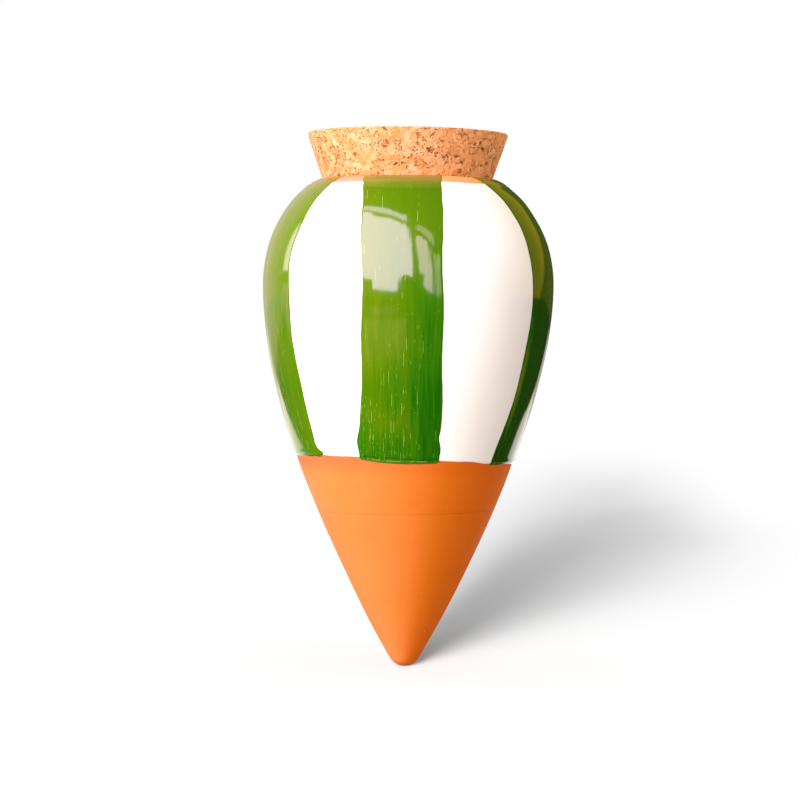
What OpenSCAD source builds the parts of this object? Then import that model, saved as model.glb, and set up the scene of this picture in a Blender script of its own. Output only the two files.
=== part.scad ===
// Irrigation olla: a pointed terracotta vessel whose bare cone is planted in the soil, glazed
// white above the soil with brushed green stripes, and closed by a tapered cork stopper.
// The point of the vessel is the origin, its axis is Z, and the front stripe faces -Y.

/* [Vessel] */
// Widest diameter of the clay
belly_d = 108.7; // [100:0.1:120]
// Height of the widest place above the point
belly_z = 143.2; // [120:0.1:170]
// Height from the widest place up to the mouth's lip
shoulder_h = 39.3; // [32:0.1:50]
// Radius that rounds the point
point_r = 6.2; // [3:0.1:9]
// Half angle of the cone at the point
point_angle = 31.2; // [26:0.1:34]
// Slope of the shoulder at the lip
shoulder_slope = 22; // [12:1:35]
// Straightness of the cone above its point, as a share of the belly's height
cone_straightness = 0.32; // [0.25:0.01:0.4]
// Fullness of the cone below the belly, as a share of the belly's height
cone_fullness = 0.275; // [0.15:0.005:0.35]
// Fullness of the shoulder above the belly, as a share of the shoulder's height
shoulder_fullness = 0.51; // [0.35:0.01:0.6]
// Straightness of the shoulder beside the lip, as a share of the shoulder's width
shoulder_straightness = 0.49; // [0.2:0.01:0.6]
// Thickness of the clay wall
wall = 6; // [4:0.5:8]
// Radius that rounds the bottom of the chamber inside
chamber_r = 6; // [4:0.5:9]

/* [Mouth] */
// Radius of the lip's crest
lip_r = 1.25; // [0.8:0.05:2]
// Radius of the edge under the lip, inside the chamber
under_lip_r = 1; // [0.5:0.1:1.5]
// Gap between the stopper and its tapered seat
seat_gap = 0.3; // [0.2:0.05:0.8]

/* [Stopper] */
// Diameter of the cork at its top
cork_top_d = 74.7; // [70:0.5:80]
// Diameter of the cork at its bottom
cork_bottom_d = 57.5; // [52:0.5:62]
// Height of the cork
cork_h = 27; // [22:0.5:35]
// How far the cork stands above the lip
cork_stand = 17.5; // [12:0.1:20]
// Radius of the cork's edges
cork_edge_r = 0.4; // [0.2:0.1:1.5]

/* [White glaze] */
// Thickness of the white glaze
glaze_t = 0.3; // [0.2:0.05:0.6]
// Height at which the dipped glaze ends on the cone
dip_z = 78; // [60:1:100]
// Width of the bare clay ring round the mouth
bare_rim_w = 5; // [2:0.5:8]

/* [Green stripes] */
// Thickness of one brush stroke
stripe_t = 0.2; // [0.15:0.05:0.4]
// Width of the brush
stripe_w = 29.2; // [20:0.1:32]
// Direction of each stroke, from the front, anticlockwise seen from above
stripe_dirs = [-68, -2, 72, 144, -140];
// How far each stroke runs past the white glaze onto the bare cone
stripe_lap = 1.5; // [0.8:0.1:4]
// How far a stroke's ends stray sideways from its middle
stripe_bow = 1.2; // [0:0.1:2]
// Height of the waves in a stroke's edges
stripe_wave = 0.25; // [0:0.05:0.5]
// Length of the waves in a stroke's edges
wave_length = 34; // [20:1:60]
// Radius of the corners at a stroke's lower end
stripe_corner = 2; // [1:0.5:4]

/* [Hidden] */
$fn = 180;

CLAY = "chocolate";
WHITE = "white";
GREEN = "forestgreen";
CORK = "burlywood";

// Steps along the cone, along the shoulder, and round each small radius
CONE_STEPS = 22;
SHOULDER_STEPS = 18;
ARC_STEPS = 6;

vessel_h = belly_z + shoulder_h;

// The stopper's side, and the line of its seat in the mouth
cork_bottom_z = vessel_h + cork_stand - cork_h;
cork_taper = atan((cork_top_d - cork_bottom_d) / 2 / cork_h);
function cork_radius(z) = cork_bottom_d / 2 + (z - cork_bottom_z) * tan(cork_taper);
function beside_seat(z, gap) = [cork_radius(z) + (seat_gap + gap) / cos(cork_taper), z];
seat_dir = [sin(cork_taper), cos(cork_taper)];

// The lip's crest is rounded about one centre, which touches the seat and the shoulder
lip_centre = beside_seat(vessel_h - lip_r, lip_r);
shoulder_dir = [-cos(shoulder_slope), sin(shoulder_slope)];
shoulder_end = lip_centre + lip_r * [sin(shoulder_slope), cos(shoulder_slope)];

// A curve runs from one point and heading to another, and its reaches say how far it keeps each
function curve(from, from_dir, from_reach, to, to_dir, to_reach) =
    [from, from + from_reach * from_dir, to - to_reach * to_dir, to];
function curve_point(c, t) =
    pow(1 - t, 3) * c[0] + 3 * pow(1 - t, 2) * t * c[1] + 3 * (1 - t) * t * t * c[2] + pow(t, 3) * c[3];
function curve_heading(c, t) =
    pow(1 - t, 2) * (c[1] - c[0]) + 2 * (1 - t) * t * (c[2] - c[1]) + t * t * (c[3] - c[2]);
function right_of(v) = [v[1], -v[0]] / norm(v);
function along(c, t, offset) = curve_point(c, t) + offset * right_of(curve_heading(c, t));
function arc(centre, r, from, to) =
    [for (i = [0:ARC_STEPS]) let (a = from + (to - from) * i / ARC_STEPS) centre + r * [cos(a), sin(a)]];
function backwards(list) = [for (i = [len(list) - 1:-1:0]) list[i]];
function crossing(p, u, q, v) = p + u * cross(q - p, v) / cross(u, v);

// The clay's outline is two such curves, which meet upright at the belly
up = [0, 1];
belly = [belly_d / 2, belly_z];
cone_dir = [sin(point_angle), cos(point_angle)];
cone_start = [0, point_r] + point_r * right_of(cone_dir);
cone_curve = curve(
    cone_start, cone_dir, cone_straightness * belly_z,
    belly, up, cone_fullness * belly_z
);
shoulder_curve = curve(
    belly, up, shoulder_fullness * shoulder_h,
    shoulder_end, shoulder_dir, shoulder_straightness * (belly_d / 2 - shoulder_end[0])
);

// The outline from the foot of the cone to the lip, moved outwards by an offset
function outline(offset) = concat(
    [for (i = [0:CONE_STEPS - 1]) along(cone_curve, i / CONE_STEPS, offset)],
    [for (i = [0:SHOULDER_STEPS]) along(shoulder_curve, i / SHOULDER_STEPS, offset)]
);

// The chamber's outline has the same two curves, one wall further in. Where a curve bends, it keeps
// its heading for less far there, by the wall as a share of the radius that it bends with.
function bend(p, reach, next) = 2 / 3 * abs(cross(reach, next - p - reach)) / pow(norm(reach), 3);
function shorter(p, reach, next) = reach * max(0.2, 1 - wall * bend(p, reach, next));
function inside(c) = [
    along(c, 0, -wall),
    along(c, 0, -wall) + shorter(c[0], c[1] - c[0], c[2]),
    along(c, 1, -wall) + shorter(c[3], c[2] - c[3], c[1]),
    along(c, 1, -wall)
];
inner_cone = inside(cone_curve);
inner_shoulder = inside(shoulder_curve);

// The chamber starts on a ball, where the inner cone has become just wide enough for it
function cone_normal(t) = right_of(curve_heading(inner_cone, t));
function ball_fits(t) = curve_point(inner_cone, t)[0] >= chamber_r * cone_normal(t)[0];
function ball_start(low, high) =
    let (middle = (low + high) / 2)
        high - low < 0.001 ? high : ball_fits(middle) ? ball_start(low, middle) : ball_start(middle, high);
chamber_from = ball_start(0, 1);
ball_centre = [0, curve_point(inner_cone, chamber_from)[1] - chamber_r * cone_normal(chamber_from)[1]];
ball_end = atan2(cone_normal(chamber_from)[1], cone_normal(chamber_from)[0]);
chamber_outline = concat(
    arc(ball_centre, chamber_r, -90, ball_end),
    [for (i = [1:CONE_STEPS]) curve_point(inner_cone, chamber_from + (1 - chamber_from) * i / CONE_STEPS)],
    [for (i = [1:SHOULDER_STEPS]) curve_point(inner_shoulder, i / SHOULDER_STEPS)]
);

// The edge under the lip touches the seat above it and the chamber's roof beside it
under_lip_centre = crossing(
    beside_seat(vessel_h, under_lip_r), seat_dir,
    shoulder_end + (under_lip_r - wall) * right_of(shoulder_dir), shoulder_dir
);

module vessel_section() {
    polygon(concat(
        arc([0, point_r], point_r, -90, -point_angle),
        outline(0),
        arc(lip_centre, lip_r, 90 - shoulder_slope, 180 - cork_taper),
        arc(under_lip_centre, under_lip_r, 180 - cork_taper, 270 - shoulder_slope),
        backwards(chamber_outline)
    ));
}

// The part of a coat above a height on the cone and outside a radius on the shoulder
module coat(thickness, from_z, from_r) {
    intersection() {
        polygon(concat(outline(0), backwards(outline(thickness))));
        polygon([
            [0, from_z], [belly_d, from_z], [belly_d, vessel_h + wall],
            [from_r, vessel_h + wall], [from_r, belly_z], [0, belly_z]
        ]);
    }
}

white_rim_r = lip_centre[0] + bare_rim_w;

module glaze_section() {
    coat(glaze_t, dip_z, white_rim_r);
}

// A stroke lies on the glaze, steps down over its two edges and ends on the clay
module stripe_section() {
    difference() {
        union() {
            coat(glaze_t + stripe_t, dip_z - stripe_t, white_rim_r - stripe_t);
            coat(stripe_t, dip_z - 2 * stripe_lap, 0);
        }
        glaze_section();
    }
}

// One edge of a stroke: -1 is its left edge and 1 its right, seen from outside
stripe_foot = dip_z - stripe_lap;
stripe_len = vessel_h - stripe_foot;
function corner_inset(h) =
    h >= stripe_corner ? 0 : stripe_corner - sqrt(pow(stripe_corner, 2) - pow(stripe_corner - h, 2));
function edge_point(number, side, h) = [
    side * (stripe_w / 2 - corner_inset(h))
        - stripe_bow * pow(2 * h / stripe_len - 1, 2)
        + stripe_wave * sin(360 * h / wave_length + 80 * number + 50 * side),
    stripe_foot + h
];
edge_heights = concat(
    [for (i = [0:ARC_STEPS - 1]) stripe_corner * (1 - cos(90 * i / ARC_STEPS))],
    [for (i = [0:24]) stripe_corner + (stripe_len - stripe_corner) * i / 24]
);

module brush_path(number) {
    rotate([90, 0, 0])
        linear_extrude(height = belly_d)
            polygon(concat(
                [for (h = edge_heights) edge_point(number, 1, h)],
                backwards([for (h = edge_heights) edge_point(number, -1, h)])
            ));
}

// Each stroke is cut from a sector of a ring, in whole steps of the ring, that spans its path at the lip
half_path = stripe_w / 2 + stripe_bow + stripe_wave + 1;
ring_step = 360 / $fn;
sector = 2 * ring_step * ceil(asin(min(0.95, half_path / lip_centre[0])) / ring_step);

module green_stripe(number) {
    color(GREEN)
        rotate([0, 0, stripe_dirs[number - 1]])
            intersection() {
                rotate([0, 0, -90 - sector / 2])
                    rotate_extrude(angle = sector)
                        stripe_section();
                brush_path(number);
            }
}

module terracotta_vessel() {
    color(CLAY) rotate_extrude() vessel_section();
}

module white_glaze() {
    color(WHITE) rotate_extrude() glaze_section();
}

module cork_stopper() {
    // Each edge is rounded about a centre that lies its radius inside the cork's two faces
    top = cork_bottom_z + cork_h - cork_edge_r;
    bottom = cork_bottom_z + cork_edge_r;
    inset = cork_edge_r / cos(cork_taper);
    color(CORK)
        rotate_extrude()
            polygon(concat(
                [[0, cork_bottom_z]],
                arc([cork_radius(bottom) - inset, bottom], cork_edge_r, -90, -cork_taper),
                arc([cork_radius(top) - inset, top], cork_edge_r, -cork_taper, 90),
                [[0, cork_bottom_z + cork_h]]
            ));
}

terracotta_vessel();
white_glaze();
green_stripe(1);  // green_stripe_1
green_stripe(2);  // green_stripe_2
green_stripe(3);  // green_stripe_3
green_stripe(4);  // green_stripe_4
green_stripe(5);  // green_stripe_5
cork_stopper();
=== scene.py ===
"""Looks of an irrigation olla on a pale floor under soft studio light.

The olla is a pointed clay vessel, dipped in white glaze above the soil line, brushed with five green
stripes from the dip line to the mouth, and closed by a tapered cork. The point of the vessel is the
origin, its axis is Z and the front stripe faces -Y. Sizes are in millimetres and degrees, and a
direction round the axis is an azimuth from the front, anticlockwise seen from above.
"""

from __future__ import annotations

import logging
import math
import random
from bisect import bisect_left
from collections.abc import Callable, Sequence
from dataclasses import dataclass, field
from enum import Enum
from functools import cached_property

import bmesh
import bpy
from mathutils import Matrix, Vector, kdtree, noise

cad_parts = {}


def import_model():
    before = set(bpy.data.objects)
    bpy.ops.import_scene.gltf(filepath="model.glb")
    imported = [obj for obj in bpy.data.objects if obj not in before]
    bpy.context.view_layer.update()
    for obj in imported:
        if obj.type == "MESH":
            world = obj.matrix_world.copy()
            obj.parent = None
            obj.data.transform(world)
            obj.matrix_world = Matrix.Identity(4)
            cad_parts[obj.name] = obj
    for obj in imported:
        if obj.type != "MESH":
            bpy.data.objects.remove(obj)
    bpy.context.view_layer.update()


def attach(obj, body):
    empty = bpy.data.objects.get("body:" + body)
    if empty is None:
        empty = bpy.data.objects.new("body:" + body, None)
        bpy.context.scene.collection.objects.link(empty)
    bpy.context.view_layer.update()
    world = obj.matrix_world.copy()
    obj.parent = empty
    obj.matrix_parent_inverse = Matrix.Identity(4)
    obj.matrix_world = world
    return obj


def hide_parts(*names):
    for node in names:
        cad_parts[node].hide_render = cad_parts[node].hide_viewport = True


LOG = logging.getLogger("olla")
MM = 0.001
ON_AXIS = 1e-6  # A smaller radius in millimetres counts as the axis.
DOUBLINGS = 4  # A spun section covers one sixteenth of a turn, which is doubled this often.
TABLE_STEPS = 6000  # Steps of the table from heights to stations.
FINE_STEPS = 600  # Steps in which a stretch of the outline is measured.
PANE_LEVEL = 143.0  # Height in millimetres from which panes are aimed, at the belly.
LAMP_LEVEL = 110.0  # Height in millimetres at which lamps look.
LAMP_DISTANCE = 1500.0
WHITE = (1.0, 1.0, 1.0, 1.0)
SKY = (12.48, 8.52, 12.0)

Socket = bpy.types.NodeSocket
Colour = tuple[float, float, float]
Pair = tuple[float, float]
Triple = tuple[float, float, float]
Inputs = dict[str | int, object]


class Body(Enum):
    """The two bodies of the olla that move on their own."""

    VESSEL = "vessel"
    STOPPER = "stopper"


class Slot(Enum):
    """The finishes that the part declares."""

    TERRACOTTA = "terracotta"
    WHITE_GLAZE = "white_glaze"
    GREEN_GLAZE = "green_glaze"
    CORK = "cork"


# ---- Shape ----


def smooth(low: float, high: float, value: float) -> float:
    """A soft step from 0 at low to 1 at high.

    Args:
        low: Where the step starts.
        high: Where it ends, above or below low.
        value: Where it is read.

    Returns:
        A share from 0 to 1.
    """
    share = min(1.0, max(0.0, (value - low) / (high - low)))
    return share * share * (3.0 - 2.0 * share)


def hump(distance: float, width: float) -> float:
    """A bell that is 1 at no distance and falls off over a width."""
    return math.exp(-((distance / width) ** 2))


def wander(azimuth: float, waves: float, seed: float) -> float:
    """A slow closed wander round the axis.

    Args:
        azimuth: Direction round the axis in degrees.
        waves: Radius of the ring on which the noise is read, so about how many waves there are.
        seed: Offset that makes one wander differ from another.

    Returns:
        A value from about -1 to 1, the same at 0 and at 360 degrees.
    """
    turn = math.radians(azimuth)
    return noise.noise(Vector((waves * math.cos(turn), waves * math.sin(turn), seed)))


def around(azimuth: float, radius: float, height: float) -> Vector:
    """The place in metres at an azimuth in degrees and a radius and height in millimetres."""
    turn = math.radians(azimuth)
    return Vector((radius * math.sin(turn), -radius * math.cos(turn), height)) * MM


def aloft(azimuth: float, elevation: float, distance: float, level: float) -> Vector:
    """The place in metres at two angles in degrees and a distance from the axis at a level."""
    rise = math.radians(elevation)
    return around(azimuth, distance * math.cos(rise), level + distance * math.sin(rise))


def polar(vert: bmesh.types.BMVert) -> Triple:
    """The azimuth in degrees and the radius and height in millimetres of a point of a mesh."""
    x, y, height = vert.co / MM
    return math.degrees(math.atan2(x, -y)), math.hypot(x, y), height


def arc(centre: Pair, radius: float, first: float, last: float, steps: int) -> list[Pair]:
    """Points on an arc in the plane of radius and height.

    Args:
        centre: Centre of the arc.
        radius: Radius of the arc.
        first: Angle of the first point in degrees, 0 outwards and 90 upwards.
        last: Angle of the last point.
        steps: Steps between the two.

    Returns:
        The points, with both ends.
    """
    turns = [math.radians(first + (last - first) * i / steps) for i in range(steps + 1)]
    return [(centre[0] + radius * math.cos(turn), centre[1] + radius * math.sin(turn)) for turn in turns]


def scaled(colour: Colour, share: float) -> Colour:
    """A colour with each of its parts times a share."""
    return tuple(share * part for part in colour)


@dataclass(frozen=True)
class Curve:
    """A smooth curve in the plane of radius and height, from one point and heading to another."""

    start: Vector
    leaving: Vector
    arriving: Vector
    end: Vector

    def point(self, share: float) -> Vector:
        """The point at a share of the curve."""
        rest = 1.0 - share
        return (
            rest**3 * self.start
            + 3.0 * rest**2 * share * self.leaving
            + 3.0 * rest * share**2 * self.arriving
            + share**3 * self.end
        )

    def normal(self, share: float) -> Vector:
        """The outward unit normal at a share of the curve.

        Args:
            share: 0 at the start and 1 at the end.

        Returns:
            The normal's radius and height.
        """
        rest = 1.0 - share
        heading = (
            rest**2 * (self.leaving - self.start)
            + 2.0 * rest * share * (self.arriving - self.leaving)
            + share**2 * (self.end - self.arriving)
        )
        return Vector((heading.y, -heading.x)).normalized()


@dataclass(frozen=True)
class Slack:
    """A height at which the thrown wall lies inside the round outline, by one depth left and one right."""

    height: float
    width: float
    left: float
    right: float


@dataclass(frozen=True)
class Outline:
    """The clay's outline and the layers on it, with the sizes of the solid model.

    The dip's slant is how far its edge lies above its mean height at the front and at the right. The
    belly's slack is the left wall's own, and reaches further up and down than the others.
    """

    belly_d: float = 108.7
    belly_z: float = 143.2
    shoulder_h: float = 39.3
    point_r: float = 6.2
    point_angle: float = 31.2
    shoulder_slope: float = 22.0
    cone_straightness: float = 0.32
    cone_fullness: float = 0.275
    shoulder_fullness: float = 0.51
    shoulder_straightness: float = 0.49
    wall: float = 6.0
    lip_r: float = 1.25
    seat_gap: float = 0.3
    cork_top_d: float = 74.7
    cork_bottom_d: float = 57.5
    cork_h: float = 27.0
    cork_stand: float = 17.5
    glaze_t: float = 0.3
    glaze_sunk: float = 0.06
    glaze_edge_w: float = 0.8
    glaze_bead: float = 0.04
    dip_z: float = 78.0
    bare_rim_w: float = 5.0
    stripe_t: float = 0.2
    dip_slant: Pair = (1.88, -1.74)
    rim_wiped: float = 0.45
    fine_w: float = 4.0
    fine_step: float = 0.16
    belly_slack: float = 0.5
    slacks: tuple[Slack, ...] = (
        Slack(171.0, 8.0, 0.05, 0.55),
        Slack(38.0, 20.0, 0.45, 0.15),
        Slack(74.0, 5.0, -0.15, 0.0),
        Slack(84.0, 9.0, 0.0, 0.25),
        Slack(180.0, 4.0, 0.10, 0.75),
    )

    @property
    def vessel_h(self) -> float:
        """Height of the lip above the point."""
        return self.belly_z + self.shoulder_h

    @property
    def cork_bottom_z(self) -> float:
        """Height of the cork's bottom above the point."""
        return self.vessel_h + self.cork_stand - self.cork_h

    @property
    def cork_top_z(self) -> float:
        """Height of the cork's top above the point."""
        return self.vessel_h + self.cork_stand

    @property
    def cork_taper(self) -> float:
        """Angle of the cork's side from upright, in radians."""
        return math.atan((self.cork_top_d - self.cork_bottom_d) / 2.0 / self.cork_h)

    def cork_radius(self, height: float) -> float:
        """Radius of the cork at a height."""
        return self.cork_bottom_d / 2.0 + (height - self.cork_bottom_z) * math.tan(self.cork_taper)

    @cached_property
    def lip_centre(self) -> Vector:
        """Centre of the lip's rounded crest.

        Returns:
            Radius and height.
        """
        height = self.vessel_h - self.lip_r
        radius = self.cork_radius(height) + (self.seat_gap + self.lip_r) / math.cos(self.cork_taper)
        return Vector((radius, height))

    @property
    def white_rim_r(self) -> float:
        """Radius at which the white glaze ends below the mouth."""
        return self.lip_centre.x + self.bare_rim_w

    @cached_property
    def cone(self) -> Curve:
        """The outline from the rounded point up to the belly.

        Returns:
            A curve that leaves the point's arc and arrives upright.
        """
        angle = math.radians(self.point_angle)
        heading = Vector((math.sin(angle), math.cos(angle)))
        start = Vector((0.0, self.point_r)) + self.point_r * Vector((heading.y, -heading.x))
        belly = Vector((self.belly_d / 2.0, self.belly_z))
        return Curve(
            start,
            start + self.cone_straightness * self.belly_z * heading,
            belly - Vector((0.0, self.cone_fullness * self.belly_z)),
            belly,
        )

    @cached_property
    def shoulder(self) -> Curve:
        """The outline from the belly up to the lip.

        Returns:
            A curve that leaves upright and arrives along the lip's slope.
        """
        slope = math.radians(self.shoulder_slope)
        end = self.lip_centre + self.lip_r * Vector((math.sin(slope), math.cos(slope)))
        reach = self.shoulder_straightness * (self.belly_d / 2.0 - end.x)
        belly = Vector((self.belly_d / 2.0, self.belly_z))
        return Curve(
            belly,
            belly + Vector((0.0, self.shoulder_fullness * self.shoulder_h)),
            end - reach * Vector((-math.cos(slope), math.sin(slope))),
            end,
        )

    def surface(self, station: float, offset: float = 0.0) -> Vector:
        """A point on the outline or beside it.

        Args:
            station: 0 at the point's arc, 1 at the belly and 2 at the lip.
            offset: Distance outwards from the clay.

        Returns:
            Radius and height.
        """
        curve, share = (self.cone, station) if station <= 1.0 else (self.shoulder, station - 1.0)
        return curve.point(share) + offset * curve.normal(share)

    def normal(self, station: float) -> Vector:
        """The outward unit normal of the outline at a station."""
        return self.cone.normal(station) if station <= 1.0 else self.shoulder.normal(station - 1.0)

    def station(self, height: float) -> float:
        """The station at a height on the outside of the clay.

        Args:
            height: Height above the point.

        Returns:
            The station, from 0 to 2.
        """
        heights = self.height_table
        index = min(len(heights) - 1, max(1, bisect_left(heights, height)))
        low, high = heights[index - 1], heights[index]
        share = min(1.0, max(0.0, (height - low) / (high - low)))
        return 2.0 * (index - 1 + share) / (len(heights) - 1)

    @cached_property
    def height_table(self) -> list[float]:
        """Heights of the outline at even steps of the station, from 0 to 2."""
        return [self.surface(2.0 * i / TABLE_STEPS).y for i in range(TABLE_STEPS + 1)]

    def stations(self, low: float, high: float, spacing: float) -> list[float]:
        """Stations at an even spacing along the outline.

        Args:
            low: First station.
            high: Last station.
            spacing: Wanted distance between neighbours, in millimetres.

        Returns:
            Rising stations, the first and last of them exactly low and high.
        """
        fine = [low + (high - low) * i / FINE_STEPS for i in range(FINE_STEPS + 1)]
        lengths = [0.0]
        for a, b in zip(fine, fine[1:]):
            lengths.append(lengths[-1] + (self.surface(b) - self.surface(a)).length)
        count = max(1, round(lengths[-1] / spacing))
        found, i = [low], 0
        for k in range(1, count):
            wanted = lengths[-1] * k / count
            while lengths[i + 1] < wanted:
                i += 1
            share = (wanted - lengths[i]) / (lengths[i + 1] - lengths[i])
            found.append(fine[i] + share * (fine[i + 1] - fine[i]))
        return [*found, high]

    def dip(self, azimuth: float) -> float:
        """Height of the white glaze's lower edge, which was dipped a little aslant.

        Args:
            azimuth: Direction round the axis in degrees.

        Returns:
            Height above the point.
        """
        turn = math.radians(azimuth)
        slant = self.dip_slant[0] * math.cos(turn) + self.dip_slant[1] * math.sin(turn)
        waves = 0.45 * wander(azimuth, 2.6, 3.1) + 0.32 * wander(azimuth, 7.0, 8.4)
        return self.dip_z + slant + waves

    def rim(self, azimuth: float) -> float:
        """Radius of the white glaze's upper edge, where it was wiped off the rim."""
        waves = 0.35 * wander(azimuth, 3.0, 5.2) + 0.12 * wander(azimuth, 11.0, 1.7)
        return self.white_rim_r - self.rim_wiped + waves

    def white_gap(self, azimuth: float, station: float) -> float:
        """Distance along the surface from the white glaze's nearer edge.

        Args:
            azimuth: Direction round the axis in degrees.
            station: Place on the outline.

        Returns:
            Millimetres, negative on bare clay.
        """
        place, normal = self.surface(station), self.normal(station)
        if place.y > self.belly_z:
            return (place.x - self.rim(azimuth)) / max(0.2, normal.y)
        return (place.y - self.dip(azimuth)) / max(0.2, normal.x)

    def coat(self, gap: float) -> float:
        """Height of the white glaze's skin above the clay.

        Args:
            gap: Distance in from the glaze's edge.

        Returns:
            Millimetres, negative where the edge sinks into the clay.
        """
        body = math.sqrt(max(0.0, 1.0 - max(0.0, 1.0 - max(0.0, gap) / self.glaze_edge_w) ** 2))
        bead = self.glaze_bead * hump(gap - 1.3, 0.7) if 0.0 < gap < 4.0 else 0.0
        return (self.glaze_t + self.glaze_sunk) * body - self.glaze_sunk + bead

    def thrown(self, azimuth: float, radius: float, height: float) -> Pair:
        """Gives the round outline the small unevenness of a body thrown by hand.

        Args:
            azimuth: Direction round the axis in degrees.
            radius: Distance from the axis.
            height: Height above the point.

        Returns:
            The radius and height after the change, which leaves the seat and the point alone.
        """
        left = 0.5 - 0.5 * math.sin(math.radians(azimuth))
        slack = left * self.belly_slack * smooth(108.0, 134.0, height)
        for part in self.slacks:
            slack += (part.right + (part.left - part.right) * left) * hump(height - part.height, part.width)
        return radius - slack * smooth(35.8, 39.5, radius + 30.0 * smooth(160.0, 100.0, height)), height


# ---- Meshes ----


def revolve(section: Sequence[Pair], steps: int, closed: bool) -> bmesh.types.BMesh:
    """Spins a section over a sector and doubles that round the axis into a closed skin.

    Args:
        section: Radius and height of each point, in millimetres.
        steps: Steps of the full turn, a multiple of the number of sectors.
        closed: Whether the section is a loop that doesn't touch the axis.

    Returns:
        The skin with merged poles and outward normals.
    """
    mesh = bmesh.new()
    points = [mesh.verts.new((radius * MM, 0.0, height * MM)) for radius, height in section]
    edges = [mesh.edges.new(pair) for pair in zip(points, points[1:])]
    if closed:
        edges.append(mesh.edges.new((points[-1], points[0])))
    angle = math.tau / 2**DOUBLINGS
    bmesh.ops.spin(
        mesh, geom=[*points, *edges], cent=(0, 0, 0), axis=(0, 0, 1),
        angle=angle, steps=steps // 2**DOUBLINGS,
    )
    for _ in range(DOUBLINGS):
        whole = [*mesh.verts, *mesh.edges, *mesh.faces]
        copy = bmesh.ops.duplicate(mesh, geom=whole)["geom"]
        verts = [part for part in copy if isinstance(part, bmesh.types.BMVert)]
        bmesh.ops.rotate(mesh, cent=(0, 0, 0), matrix=Matrix.Rotation(angle, 3, "Z"), verts=verts)
        angle *= 2.0
    bmesh.ops.remove_doubles(mesh, verts=mesh.verts, dist=1e-6)
    bmesh.ops.recalc_face_normals(mesh, faces=mesh.faces)
    return mesh


def reshape(mesh: bmesh.types.BMesh, move: Callable[[float, float, float], Pair]) -> None:
    """Moves each point of a spun mesh in its own plane through the axis.

    Args:
        mesh: The mesh to change.
        move: Takes azimuth, radius and height and gives the new radius and height.
    """
    for vert in mesh.verts:
        azimuth, radius, height = polar(vert)
        if radius > ON_AXIS:
            vert.co = around(azimuth, *move(azimuth, radius, height))


def finish_mesh(mesh: bmesh.types.BMesh, name: str) -> bpy.types.Object:
    """Turns a mesh under construction into a smooth shaded object at the origin.

    Args:
        mesh: The mesh, which is freed.
        name: Name of the piece.

    Returns:
        The new object, linked into the scene.
    """
    data = bpy.data.meshes.new(name)
    for face in mesh.faces:
        face.smooth = True
    mesh.to_mesh(data)
    mesh.free()
    piece = bpy.data.objects.new(name, data)
    bpy.context.scene.collection.objects.link(piece)
    return piece


# ---- Node wiring ----


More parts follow.
